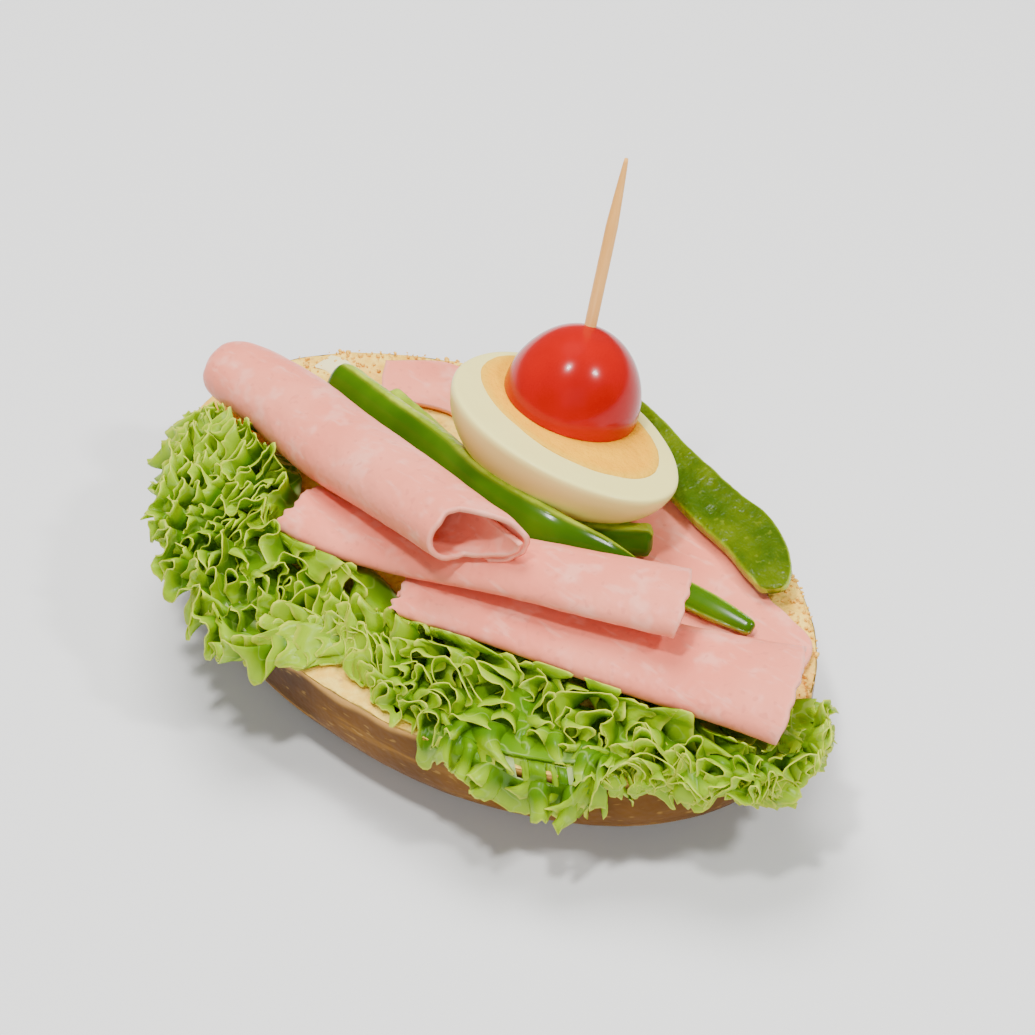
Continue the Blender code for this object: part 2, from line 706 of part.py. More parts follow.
def main():
    clear_scene()
    sandwich = make_collection("open_sandwich")
    cutters = make_collection("cutters")
    crust = make_material("bread", (0.62, 0.38, 0.15), 0.7)
    ham = make_material("ham", (0.86, 0.56, 0.50), 0.4)
    pepper = make_material("pepper", (0.11, 0.30, 0.02), 0.25)
    leaf = make_material("lettuce", (0.30, 0.55, 0.04), 0.4)
    white = make_material("egg_white", (0.88, 0.87, 0.74), 0.3)
    yolk = make_material("egg_yolk", (0.95, 0.60, 0.12), 0.6)
    red = make_material("tomato", (0.72, 0.03, 0.01), 0.15)
    wood = make_material("wood", (0.80, 0.58, 0.32), 0.6)

    bread = make_bread(sandwich, material=crust)
    cut(bread, stick_hole(cutters))
    for name, stations in HAM_ROLLS.items():
        make_ham_roll(name, stations, sandwich, ham)
    for name, outline in HAM_SLICES.items():
        make_ham_slice(name, outline, sandwich, ham)
    for name, stations in PEPPER_STRIPS.items():
        make_pepper(name, stations, sandwich, cutters, pepper)
    make_egg_white(sandwich, cutters, white)
    make_egg_yolk(sandwich, cutters, yolk)
    make_tomato(sandwich, cutters, red)
    stick_solid("cocktail_stick", STICK_RADIUS, sandwich, wood)
    make_lettuce(sandwich, cutters, leaf)


main()
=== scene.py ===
"""Looks of the open sandwich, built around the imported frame. Lengths are metres unless a comment says so."""

import json
import math

import bmesh
import bpy
import numpy as np
from mathutils import Matrix, Vector, noise

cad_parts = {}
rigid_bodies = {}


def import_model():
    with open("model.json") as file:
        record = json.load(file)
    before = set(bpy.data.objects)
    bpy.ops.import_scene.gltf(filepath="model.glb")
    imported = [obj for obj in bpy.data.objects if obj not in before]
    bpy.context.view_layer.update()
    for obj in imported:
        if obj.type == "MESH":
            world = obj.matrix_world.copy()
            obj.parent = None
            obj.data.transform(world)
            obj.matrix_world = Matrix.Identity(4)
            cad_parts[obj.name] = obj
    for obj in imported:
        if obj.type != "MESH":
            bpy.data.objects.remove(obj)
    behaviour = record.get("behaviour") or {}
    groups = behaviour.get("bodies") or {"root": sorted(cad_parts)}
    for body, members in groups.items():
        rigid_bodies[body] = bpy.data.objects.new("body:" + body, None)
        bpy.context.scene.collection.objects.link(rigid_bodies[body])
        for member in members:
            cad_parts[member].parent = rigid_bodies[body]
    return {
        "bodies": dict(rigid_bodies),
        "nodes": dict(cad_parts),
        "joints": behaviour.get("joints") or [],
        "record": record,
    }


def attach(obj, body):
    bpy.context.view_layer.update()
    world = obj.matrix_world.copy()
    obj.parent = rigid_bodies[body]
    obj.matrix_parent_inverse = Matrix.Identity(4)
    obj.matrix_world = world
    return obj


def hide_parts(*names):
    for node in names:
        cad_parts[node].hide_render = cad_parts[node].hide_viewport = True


MM = 0.001

# Camera of the photo
CAMERA_PLACE = (0.31940, -0.32699, 0.44658)
CAMERA_AHEAD = (-0.51072, 0.53984, -0.66913)
CAMERA_LENS = 100

# Bread roll, bottom half
BREAD_LENGTH = 164.2 * MM
BREAD_WIDTH = 105.2 * MM
BREAD_HEIGHT = 26 * MM
BREAD_SIDE_POWER = 4.0
BREAD_COLUMNS = 340
BREAD_ROWS = 160
CRUMB_COUNT = 620
CRUMB_SEED = 4
# Radii of the loose crumbs, in millimetres
CRUMB_RADII = [0.22, 0.32, 0.5]
BUTTER_ROWS = 40
BUTTER_COLUMNS = 24

# Ham
HAM_THICKNESS = 1.15 * MM
HAM_LAYER_PITCH = 1.8 * MM
ROLL_ROWS = 120
ROLL_COLUMNS = 130
ROLL_TURNS = 1.2
SLICE_HEIGHT = 27.8 * MM
SLICE_RINGS = 36
SLICE_SIDES = 199
# Two rolls have slanted right ends: the wall at this angle round the roll is longest and hides the inside
SLANT = 0.85
FACING = math.radians(45)
# Each roll's stations: x, y, z of its middle, half its width and half its height, all in millimetres
HAM_ROLLS = {
    "ham_roll_back": [
        (-78.6, -4.4, 35.6, 5.6, 4.8),
        (-74.0, -4.4, 36.4, 9.4, 7.4),
        (-55.0, -5.6, 37.9, 10.8, 8.3),
        (-36.0, -9.6, 40.6, 11.2, 8.4),
        (-12.5, -13.6, 45.2, 10.6, 8.1),
        (11.8, -18.4, 50.2, 9.7, 7.4),
    ],
    "ham_roll_middle": [
        (-32.5, -24.4, 33.4, 9.0, 4.8),
        (-20.0, -22.8, 34.0, 9.2, 4.3),
        (-4.4, -19.4, 35.9, 9.0, 4.0),
        (17.9, -12.4, 40.7, 9.4, 4.7),
        (39.5, -5.9, 43.9, 10.0, 5.4),
        (57.8, 1.0, 45.7, 10.3, 5.8),
    ],
    "ham_roll_front": [
        (0.6, -27.2, 32.0, 7.6, 3.4),
        (22.9, -17.6, 32.7, 9.6, 4.4),
        (44.5, -10.4, 33.6, 11.2, 5.3),
        (64.7, -3.0, 34.4, 12.8, 5.8),
        (84.9, 4.0, 35.6, 14.2, 7.2),
    ],
}
# For each roll: its seam in degrees, how far its back wall reaches on past the right end, and how ragged its
# left and right ends are, in millimetres
ROLL_HABITS = {
    "ham_roll_back": (-110, 11, 0.3, 0.6),
    "ham_roll_middle": (-110, 0, 1.8, 0.5),
    "ham_roll_front": (-90, 0, 2.2, 0.6),
}
# Each slice's outline: x, y in millimetres
HAM_SLICES = {
    "ham_slice_right": [(9, 22), (23, 41), (43, 33.5), (57, 28.4), (72.5, 23.5), (70, 12), (40, 8), (16, 13)],
    "ham_slice_left": [
        (-59.5, 29),
        (-46.3, 38.6),
        (-20, 42),
        (-14, 34),
        (-30, 27.5),
        (-38.2, 25.8),
        (-51, 21),
    ],
}

# Each strip's stations: x, y, z of its middle, width and wall in millimetres, and its skin's lean in degrees
PEPPER_STRIPS = {
    "pepper_front": [
        (-58.2, 12.0, 34.0, 6.0, 3.4, 52),
        (-55.0, 11.4, 34.2, 9.6, 4.0, 52),
        (-40.0, 9.6, 34.6, 10.5, 4.4, 52),
        (-20.0, 6.6, 36.4, 11.0, 4.6, 52),
        (-2.0, 1.4, 39.6, 11.0, 4.6, 52),
        (16.0, 2.6, 39.4, 10.0, 4.2, 50),
        (27.0, 8.4, 36.4, 6.5, 3.4, 48),
        (33.0, 13.2, 33.2, 2.0, 1.6, 46),
    ],
    "pepper_middle": [
        (-46.0, 17.2, 31.6, 6.0, 4.2, 84),
        (-36.0, 15.4, 31.8, 7.0, 4.8, 84),
        (-20.0, 13.0, 31.4, 6.8, 5.0, 84),
        (0.0, 12.0, 31.6, 6.4, 5.2, 84),
        (16.0, 12.4, 32.4, 7.0, 5.2, 78),
        (29.5, 21.4, 32.6, 7.0, 4.4, 74),
    ],
    "pepper_back": [
        (-12.0, 49.0, 32.9, 8.0, 4.2, 200),
        (0.6, 47.8, 33.3, 9.4, 4.6, 203),
        (15.8, 43.0, 32.7, 11.0, 4.8, 198),
        (31.0, 39.2, 32.3, 12.0, 5.0, 194),
        (43.0, 37.0, 32.1, 12.6, 5.0, 191),
        (52.0, 32.6, 31.9, 10.6, 4.6, 188),
        (57.5, 28.2, 31.7, 6.0, 3.0, 185),
    ],
    "pepper_tip": [
        (35.0, 13.8, 31.2, 6.0, 3.4, 30),
        (43.0, 14.8, 31.0, 6.0, 3.4, 30),
        (52.0, 16.0, 30.8, 5.4, 3.2, 30),
        (61.0, 17.2, 30.4, 3.4, 2.4, 30),
    ],
}
PEPPER_BOW = 0.16
PEPPER_ROWS = 120
PEPPER_SIDES = 56

# Egg, tomato and stick
EGG_HALF_SIZES = (28.6 * MM, 21.7 * MM, 18.4 * MM)
EGG_TAPER = 0.117
EGG_COLUMNS = 160
EGG_FACE_CENTRE = Vector((2.7, 24.15, 48.0)) * MM
EGG_UP = Vector((0.12, 0.302, 0.946)).normalized()
EGG_TURN = math.radians(-1)
YOLK_HALF_SIZES = (23.5 * MM, 15.5 * MM)
YOLK_SHIFT = (-2.2 * MM, 2.4 * MM)
YOLK_RISE = 0.3 * MM
TOMATO_RADIUS = 15.2 * MM
TOMATO_HEIGHT = 18 * MM
TOMATO_COLUMNS = 140
TOMATO_BASE = Vector((-3.1, 30.6, 46.95)) * MM
STICK_LENGTH = 80 * MM
STICK_RADIUS = 1.35 * MM
STICK_COLUMNS = 36
STICK_AXIS = Vector((-0.076, 0.357, 0.931)).normalized()
STICK_TOP = Vector((-7.4, 51.8, 98.2)) * MM

# Lettuce, from the left end of the roll round its front to the right end, in millimetres: the margin of the
# outermost frill (x, y, z), the margin of the innermost frill (x, y, z), and the root of the outermost (x, y)
LETTUCE_STATIONS = [
    (-72.5, -14.6, 34.5, -71.9, -16.2, 32.0, -66, -13),
    (-72.5, -26.7, 35.5, -66.6, -21.4, 32.5, -62, -21),
    (-61.1, -43.3, 35.0, -55.6, -27.6, 32.5, -53, -30),
    (-46.7, -55.3, 34.0, -45.8, -32.9, 32.5, -42, -38),
    (-30.6, -61.5, 31.0, -37.3, -39.5, 31.5, -29, -44),
    (-20.6, -65.0, 29.0, -27.3, -41.5, 31.5, -19, -47),
    (-11.9, -65.0, 27.5, -18.1, -42.0, 31.5, -11, -48),
    (-8.2, -53.5, 28.5, -10.1, -42.3, 31.5, -4, -47),
    (1.9, -47.8, 30.0, -0.7, -42.4, 31.5, 4, -43),
    (15.5, -51.0, 28.5, 10.5, -40.5, 31.0, 15, -44),
    (31.6, -52.0, 27.5, 22.3, -37.2, 31.0, 27, -43),
    (39.8, -52.0, 21.5, 31.9, -34.9, 31.0, 37, -43),
    (47.4, -49.7, 18.0, 41.1, -32.3, 31.0, 44, -41),
    (55.9, -45.1, 16.0, 50.3, -29.7, 31.5, 52, -37),
    (64.1, -39.3, 17.5, 59.7, -27.0, 31.5, 59, -32),
    (68.5, -33.5, 26.0, 68.1, -24.6, 30.5, 62, -27),
    (73.6, -28.8, 27.5, 75.3, -22.5, 29.5, 67, -23),
    (81.6, -25.9, 22.0, 83.2, -20.0, 29.5, 73, -18),
    (85.2, -16.8, 24.5, 89.8, -15.2, 28.0, 76, -13),
    (90.0, -8.7, 17.0, 91.5, -9.1, 27.5, 78, -8),
    (93.5, -4.0, 18.0, 92.5, -4.0, 27.5, 80, -4),
    (93.4, 3.7, 23.5, 92.0, 1.2, 28.0, 80, 1),
    (91.2, 9.9, 27.5, 89.9, 6.4, 29.0, 80, 5),
    (85.3, 12.7, 29.5, 85.9, 11.4, 30.0, 78, 9),
]
LEAF_HEIGHT = 27.5 * MM
LEAF_THICKNESS = 0.24 * MM
LEAF_ROWS = 24
LETTUCE_COLUMNS = 241
INNER_ROOT_STEP = 8 * MM
FRILL_TIERS = 7
# How far the margins of the frills against the ham are inside the innermost of the others
FRILLS_BY_HAM = (12.5 * MM, 8.5 * MM, 4 * MM)
RISE_BY_HAM = 4 * MM
FRILL_WAVELENGTH = 7.2 * MM
FRILL_SAMPLES = 24
FRILL_ROWS = 12
FRILL_DEPTH = 9 * MM
FRILL_SWING = math.radians(102)
RUFFLE_ROOM = 3 * MM
HAM_CLEARANCE = 0.5 * MM


# Meshes


def mesh_object(name, points, faces, material):
    """A smooth object from its points and faces."""
    mesh = bpy.data.meshes.new(name)
    mesh.from_pydata([tuple(p) for p in points], [], faces)
    bm = bmesh.new()
    bm.from_mesh(mesh)
    bmesh.ops.recalc_face_normals(bm, faces=bm.faces)
    bm.to_mesh(mesh)
    bm.free()
    mesh.shade_smooth()
    mesh.materials.append(material)
    obj = bpy.data.objects.new(name, mesh)
    bpy.context.scene.collection.objects.link(obj)
    return obj


def grid_faces(rows, columns, closed=False, capped=False):
    """Faces of a grid of points numbered row by row."""
    faces = []
    for i in range(rows - 1):
        for j in range(columns if closed else columns - 1):
            k = (j + 1) % columns
            faces.append((i * columns + j, i * columns + k, (i + 1) * columns + k, (i + 1) * columns + j))
    if capped:
        faces.append(tuple(range(columns)))
        faces.append(tuple(range((rows - 1) * columns, rows * columns)))
    return faces


def put_values(obj, name, values):
    """Stores a number at each point of the mesh for its material to read."""
    layer = obj.data.attributes.new(name, "FLOAT", "POINT")
    layer.data.foreach_set("value", np.asarray(values, np.float32).ravel())


def thicken(obj, thickness):
    """Gives a sheet its thickness."""
    solidify = obj.modifiers.new("thickness", "SOLIDIFY")
    solidify.thickness = thickness
    solidify.offset = 0


def stand_for(obj, node):
    """Makes the object ride with the sandwich in place of a node."""
    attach(obj, "root")
    if node:
        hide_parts(node)


def spline(points, count):
    """Count rows, evenly spaced on a smooth curve through rows of numbers; the first three are a place."""
    rows = np.array(points, float)
    ends = np.vstack([2 * rows[0] - rows[1], rows, 2 * rows[-1] - rows[-2]])
    fine = []
    for i in range(1, len(ends) - 2):
        before, start, end, after = ends[i - 1 : i + 3]
        for t in np.linspace(0, 1, 24, endpoint=False):
            linear = (end - before) * t
            square = (2 * before - 5 * start + 4 * end - after) * t**2
            cube = (3 * start - before - 3 * end + after) * t**3
            fine.append(0.5 * (2 * start + linear + square + cube))
    fine.append(rows[-1])
    fine = np.array(fine)
    steps = np.linalg.norm(np.diff(fine[:, :3], axis=0), axis=1)
    travelled = np.concatenate([[0], np.cumsum(steps)])
    wanted = np.linspace(0, travelled[-1], count)
    return np.stack([np.interp(wanted, travelled, fine[:, k]) for k in range(fine.shape[1])], axis=1)


def frames_along(centres):
    """For points along a curve, the unit directions (forward, sideways to the right, upwards) at each."""
    made = []
    for row in np.gradient(np.array(centres), axis=0):
        ahead = Vector(row).normalized()
        side = ahead.cross(Vector((0, 0, 1))).normalized()
        made.append((ahead, side, side.cross(ahead)))
    return made


def wavering(x, seed, octaves=3):
    """A smooth random line, about -1 to 1, that turns about once a unit."""
    rng = np.random.default_rng(seed)
    total = np.zeros(np.shape(x))
    for k in range(octaves):
        total = total + 0.6**k * np.sin(2 * math.pi * (x * 1.7**k + rng.random()))
    return total / 1.7


def relief(point, scale, seed=0.0):
    """Smooth random relief in space, about -1 to 1."""
    return noise.noise(Vector(point) * scale + Vector((seed, 1.7 * seed, 0.3 * seed)))


def eased(x, low, high):
    """0 below low, 1 above high, smooth between."""
    t = min(1.0, max(0.0, (x - low) / (high - low)))
    return t * t * (3 - 2 * t)


# Materials


class Nodes:
    """A short way to write a node material."""

    def __init__(self, name):
        self.material = bpy.data.materials.new(name)
        self.material.use_nodes = True
        self.tree = self.material.node_tree
        self.shader = self.tree.nodes["Principled BSDF"]
        self.output = self.tree.nodes["Material Output"]
        self.place = self.add("ShaderNodeTexCoord").outputs["Object"]

    def add(self, kind, **settings):
        node = self.tree.nodes.new(kind)
        for key, value in settings.items():
            setattr(node, key, value)
        return node

    def link(self, value, socket):
        """Links an output to a socket, or sets the socket to a plain value."""
        if isinstance(value, bpy.types.NodeSocket):
            self.tree.links.new(value, socket)
        elif socket.type == "RGBA":
            socket.default_value = (*value, 1)
        else:
            socket.default_value = value

    def noise(self, scale, detail=4, roughness=0.55, place=None):
        node = self.add("ShaderNodeTexNoise")
        self.link(place or self.place, node.inputs["Vector"])
        node.inputs["Scale"].default_value = scale
        node.inputs["Detail"].default_value = detail
        node.inputs["Roughness"].default_value = roughness
        return node.outputs["Fac"]

    def cells(self, scale):
        node = self.add("ShaderNodeTexVoronoi")
        self.link(self.place, node.inputs["Vector"])
        node.inputs["Scale"].default_value = scale
        return node.outputs["Distance"]

    def stretched(self, scale, turn=(0, 0, 0)):
        node = self.add("ShaderNodeMapping")
        self.link(self.place, node.inputs["Vector"])
        node.inputs["Scale"].default_value = scale
        node.inputs["Rotation"].default_value = turn
        return node.outputs["Vector"]

    def step(self, value, low, high, least=0.0, most=1.0):
        """Least up to low, most from high on, and smooth between."""
        node = self.add("ShaderNodeMapRange", interpolation_type="SMOOTHSTEP")
        self.link(value, node.inputs["Value"])
        node.inputs["From Min"].default_value = low
        node.inputs["From Max"].default_value = high
        node.inputs["To Min"].default_value = least
        node.inputs["To Max"].default_value = most
        return node.outputs["Result"]

    def mix(self, factor, first, second):
        node = self.add("ShaderNodeMix", data_type="RGBA")
        self.link(factor, node.inputs[0])
        self.link(first, node.inputs[6])
        self.link(second, node.inputs[7])
        return node.outputs[2]

    def maths(self, operation, first, second=0.0):
        node = self.add("ShaderNodeMath", operation=operation)
        self.link(first, node.inputs[0])
        self.link(second, node.inputs[1])
        return node.outputs[0]

    def times(self, first, second):
        return self.maths("MULTIPLY", first, second)

    def value(self, name):
        return self.add("ShaderNodeAttribute", attribute_name=name).outputs["Fac"]

    def bump(self, height, distance, strength=1.0, under=None):
        node = self.add("ShaderNodeBump")
        self.link(height, node.inputs["Height"])
        node.inputs["Distance"].default_value = distance
        node.inputs["Strength"].default_value = strength
        if under:
            self.link(under, node.inputs["Normal"])
        return node.outputs["Normal"]

    def finish(self, colour, roughness, normal=None, coat=0.0, shine=0.25):
        shader = self.shader.inputs
        self.link(colour, shader["Base Color"])
        self.link(roughness, shader["Roughness"])
        if normal:
            self.link(normal, shader["Normal"])
        shader["Specular IOR Level"].default_value = shine
        shader["Coat Weight"].default_value = coat
        shader["Coat Roughness"].default_value = 0.08
        return self.material


def bread_material():
    """Brown, faintly streaked crust and cream, open crumb with painted shade in its pores. The mesh says which
    points are crumb.
    """
    n = Nodes("bread_looks")
    crumb = n.value("crumb")
    fine = n.noise(260, 3, 0.7)
    crust = n.mix(n.step(n.noise(28, 3), 0.35, 0.68), (0.060, 0.019, 0.0), (0.160, 0.060, 0.001))
    streaks = n.noise(70, 4, 0.6, n.stretched((0.35, 0.35, 2.6)))
    crust = n.mix(n.step(streaks, 0.55, 0.72), crust, (0.30, 0.135, 0.010))
    flecks = n.step(n.noise(700, 1, 0.5, n.stretched((0.4, 0.4, 1.4))), 0.65, 0.74, 0, 0.35)
    crust = n.mix(flecks, crust, (0.52, 0.30, 0.06))
    crust = n.mix(n.step(n.value("rim"), 0.1, 1.0), crust, (0.72, 0.38, 0.09))
    pores = n.cells(330)
    soft = n.mix(n.step(fine, 0.3, 0.7), (0.90, 0.52, 0.06), (0.99, 0.70, 0.14))
    # painted shade: the crumb is darker at its pores, standing in for the shade inside the holes
    soft = n.mix(n.step(pores, 0.0, 0.28), (0.60, 0.34, 0.09), soft)
    toasted = n.times(n.step(n.noise(45, 2), 0.54, 0.75), 0.5)
    soft = n.mix(toasted, soft, (0.82, 0.43, 0.08))
    hollows = n.noise(340, 2, 0.7)
    rough_crust = n.bump(n.noise(420, 1), 0.0004, 0.6)
    rough = n.bump(n.times(hollows, crumb), 0.0011, 1.0, rough_crust)
    return n.finish(n.mix(crumb, crust, soft), n.step(crumb, 0, 1, 0.42, 0.9), rough, shine=0.12)


def ham_material():
    """Moist pink ham with a paler grain, small pores and a paler cut edge."""
    n = Nodes("ham_looks")
    marbled = n.noise(150, 2, 0.6)
    colour = n.mix(n.step(n.noise(38, 2), 0.3, 0.7), (0.90, 0.24, 0.155), (0.97, 0.31, 0.205))
    colour = n.mix(n.step(marbled, 0.52, 0.7, 0, 0.55), colour, (0.97, 0.44, 0.33))
    strands = n.noise(210, 2, 0.6, n.stretched((0.5, 2.2, 2.2), (0, 0, 0.4)))
    colour = n.mix(n.step(strands, 0.57, 0.72, 0, 0.35), colour, (0.97, 0.50, 0.38))
    colour = n.mix(n.step(n.noise(640, 0), 0.70, 0.78, 0, 0.4), colour, (0.74, 0.20, 0.14))
    colour = n.mix(n.times(n.value("edge"), 0.4), colour, (0.97, 0.50, 0.37))
    normal = n.bump(n.noise(420, 1), 0.0004, 0.6)
    return n.finish(colour, 0.36, normal)


def lettuce_material():
    """Green leaf, pale at its root and bright yellow-green at its margin; light shines through it."""
    n = Nodes("lettuce_looks")
    out = n.value("outward")
    leaf = n.mix(n.step(n.noise(55, 2), 0.3, 0.7), (0.06, 0.19, 0.0), (0.20, 0.40, 0.001))
    leaf = n.mix(n.step(out, 0.62, 0.97), leaf, (0.39, 0.60, 0.004))
    leaf = n.mix(n.step(out, 0.965, 1.0), leaf, (0.72, 0.80, 0.06))
    winding = n.maths("ABSOLUTE", n.maths("SUBTRACT", n.noise(130, 1), 0.5))
    veins = n.step(winding, 0.0, 0.022, 0.35, 0)
    leaf = n.mix(veins, leaf, (0.52, 0.68, 0.16))
    leaf = n.mix(n.step(out, 0.0, 0.22, 1, 0), leaf, (0.50, 0.62, 0.22))
    quilted = n.bump(n.noise(210, 0), 0.0012, 0.7)
    n.finish(leaf, 0.32, quilted)
    through = n.add("ShaderNodeBsdfTranslucent")
    n.link(n.mix(0.5, leaf, (0.45, 0.80, 0.01)), through.inputs["Color"])
    n.link(quilted, through.inputs["Normal"])
    both = n.add("ShaderNodeMixShader")
    both.inputs[0].default_value = 0.27
    n.link(n.shader.outputs[0], both.inputs[1])
    n.link(through.outputs[0], both.inputs[2])
    n.link(both.outputs[0], n.output.inputs["Surface"])
    return n.material


def pepper_material():
    """Glossy dark green skin, pale flesh on the cut sides and a wet yellow-green inner wall whose pale specks
    are partly its membrane and partly painted wet glints.
    """
    n = Nodes("pepper_looks")
    skin = n.value("skin")
    dark = n.mix(n.step(n.noise(40, 3), 0.3, 0.7), (0.030, 0.095, 0.0), (0.065, 0.165, 0.001))
    flesh = n.mix(n.step(n.noise(160, 2), 0.35, 0.7), (0.24, 0.36, 0.006), (0.42, 0.53, 0.03))
    wall = n.mix(n.step(n.noise(90, 4), 0.3, 0.7), (0.035, 0.08, 0.0), (0.10, 0.15, 0.0))
    # pale specks on the inner wall: partly its membrane, partly painted highlights standing in for wet glints
    wall = n.mix(n.step(n.noise(520, 3), 0.62, 0.70, 0, 0.15), wall, (0.36, 0.42, 0.04))
    colour = n.mix(n.value("inner"), n.mix(skin, flesh, dark), wall)
    rough = n.times(n.noise(380, 2, 0.6), n.maths("SUBTRACT", 1.0, skin))
    normal = n.bump(rough, 0.0012, 0.8)
    return n.finish(colour, n.step(skin, 0, 1, 0.33, 0.18), normal)


def egg_white_material():
    """Smooth, faintly mottled white that goes greener lower down its side, a painted green reflection of the
    pepper beneath it.
    """
    n = Nodes("egg_white_looks")
    # painted reflection: the lower side is tinted green for the light thrown back by the pepper beneath
    white = n.mix(n.step(n.value("depth"), 0.12, 0.85), (0.88, 0.80, 0.28), (0.90, 0.98, 0.24))
    white = n.mix(n.step(n.noise(60, 3), 0.4, 0.7, 0, 0.3), white, (0.86, 0.77, 0.23))
    return n.finish(white, 0.26, n.bump(n.noise(140, 1), 0.0005, 0.3))


def yolk_material():
    """Crumbly boiled yolk."""
    n = Nodes("egg_yolk_looks")
    colour = n.mix(n.step(n.noise(130, 5, 0.65), 0.3, 0.7), (0.93, 0.40, 0.0), (1.0, 0.48, 0.0))
    colour = n.mix(n.step(n.cells(420), 0.02, 0.12, 0.6, 0), colour, (0.80, 0.27, 0.01))
    colour = n.mix(n.step(n.value("outward"), 0.86, 1.0), colour, (0.88, 0.47, 0.02))
    return n.finish(colour, 0.62, n.bump(n.noise(480, 3, 0.7), 0.0009, 0.8), shine=0.08)


def tomato_material():
    """Shiny red skin with faint lighter flecks, and paler flesh on the cut side."""
    n = Nodes("tomato_looks")
    red = n.mix(n.step(n.noise(45, 3), 0.3, 0.7), (0.36, 0.0, 0.0), (0.46, 0.001, 0.0))
    red = n.mix(n.step(n.cells(620), 0.03, 0.09, 0.22, 0), red, (0.70, 0.04, 0.0))
    red = n.mix(n.value("cut"), red, (0.66, 0.05, 0.005))
    return n.finish(red, 0.22, n.bump(n.noise(60, 1), 0.0006, 0.25), coat=0.14, shine=0.18)


def wood_material():
    """Pale wood with long fine grain."""
    n = Nodes("wood_looks")
    grain = n.noise(500, 5, 0.6, n.stretched((1, 1, 0.04)))
    colour = n.mix(n.step(grain, 0.35, 0.7), (0.85, 0.42, 0.10), (1.0, 0.60, 0.22))
    return n.finish(colour, 0.55, n.bump(grain, 0.0002, 0.6))


def plain_material(name, colour, roughness):
    """One soft colour with a faint grain."""
    n = Nodes(name)
    return n.finish(colour, roughness, n.bump(n.noise(300, 3), 0.0004, 0.5))


# Bread


def bread_radius(angle):
    """How far the roll's rim is from its middle, in a direction seen from above."""
    along, across = BREAD_LENGTH / 2, BREAD_WIDTH / 2
    return along * across / math.hypot(across * math.cos(angle), along * math.sin(angle))


def bread_profile():
    """The roll's outline, evenly spaced, from under its middle, up its crust and over its crumb: rows of the
    share of the rim's radius, the height and how much is crumb."""
    angles = np.linspace(math.pi / 2, 0, 900) ** 2 * 2 / math.pi
    power = 2 / BREAD_SIDE_POWER
    crust = [(math.cos(a) ** power, 1 - math.sin(a) ** power, 0) for a in angles]
    top = [(share, 1.0, 1) for share in np.linspace(0.997, 0, 300)]
    rows = np.array(crust + top)
    lengths = np.hypot(np.diff(rows[:, 0]) * BREAD_WIDTH / 2, np.diff(rows[:, 1]) * BREAD_HEIGHT)
    travelled = np.concatenate([[0], np.cumsum(lengths)])
    wanted = np.linspace(0, travelled[-1], BREAD_ROWS)
    return np.stack([np.interp(wanted, travelled, rows[:, k]) for k in range(3)], axis=1)


def make_bread(material):
    """The roll half, with a boxy, faintly dented crust and a rough, open crumb."""
    points, crumbs, rims = [], [], []
    for share, height, crumb in bread_profile():
        for column in range(BREAD_COLUMNS):
            angle = 2 * math.pi * column / BREAD_COLUMNS
            radius = bread_radius(angle)
            x, y = radius * share * math.cos(angle), radius * share * math.sin(angle)
            z = BREAD_HEIGHT * height
            here = (x, y, z)
            if crumb > 0.5:
                near_rim = eased(share, 0.86, 1.0)
                bumps = 0.22 * relief(here, 300) + 0.16 * relief(here, 700, 3) + 0.3 * relief(here, 90, 5)
                torn = 0.5 * relief(here, 160, 9) - 0.25
                z += (0.4 * (1 - share**2) + bumps + near_rim * torn) * MM
                rims.append(0)
            else:
                dents = 0.25 * relief(here, 40) + 0.12 * relief(here, 150, 2) + 0.05 * relief(here, 500, 4)
                torn = eased(height, 0.9, 1.0) * 0.35 * relief(here, 190, 8)
                x += (dents + torn) * MM * math.cos(angle)
                y += (dents + torn) * MM * math.sin(angle)
                z = max(0.0, z)
                rims.append(eased(height + 0.06 * relief(here, 120, 6), 0.86, 1.0))
            points.append((x, y, z))
            crumbs.append(crumb)
    obj = mesh_object("bread_roll", points, grid_faces(BREAD_ROWS, BREAD_COLUMNS, closed=True), material)
    put_values(obj, "crumb", crumbs)
    put_values(obj, "rim", rims)
    stand_for(obj, "bread")


def ball_of(radius, rng):
    """Points and faces of a small uneven lump."""
    bm = bmesh.new()
    bmesh.ops.create_icosphere(bm, subdivisions=1, radius=1)
    stretch = 0.6 + 0.7 * rng.random(3)
    points = [Vector(v.co) * radius * (0.7 + 0.6 * rng.random()) for v in bm.verts]
    points = [Vector((p.x * stretch[0], p.y * stretch[1], p.z * stretch[2])) for p in points]
    faces = [tuple(v.index for v in f.verts) for f in bm.faces]
    bm.free()
    return points, faces


def make_crumbs(material):
    """Loose, toasted crumbs along the back and the right of the cut face."""
    rng = np.random.default_rng(CRUMB_SEED)
    points, faces = [], []
    for _ in range(CRUMB_COUNT):
        angle = math.radians(rng.choice([rng.uniform(8, 40), rng.uniform(85, 168), rng.uniform(85, 168)]))
        share = 1 - 0.13 * rng.random() ** 1.4
        radius = bread_radius(angle) * share
        size = rng.choice(CRUMB_RADII) * MM * (0.7 + 0.6 * rng.random())
        place = Vector((radius * math.cos(angle), radius * math.sin(angle), BREAD_HEIGHT + 0.25 * MM))
        lump, sides = ball_of(size, rng)
        faces.extend(tuple(len(points) + k for k in side) for side in sides)
        points.extend(place + p for p in lump)
    obj = mesh_object("bread_crumbs", points, faces, material)
    stand_for(obj, None)


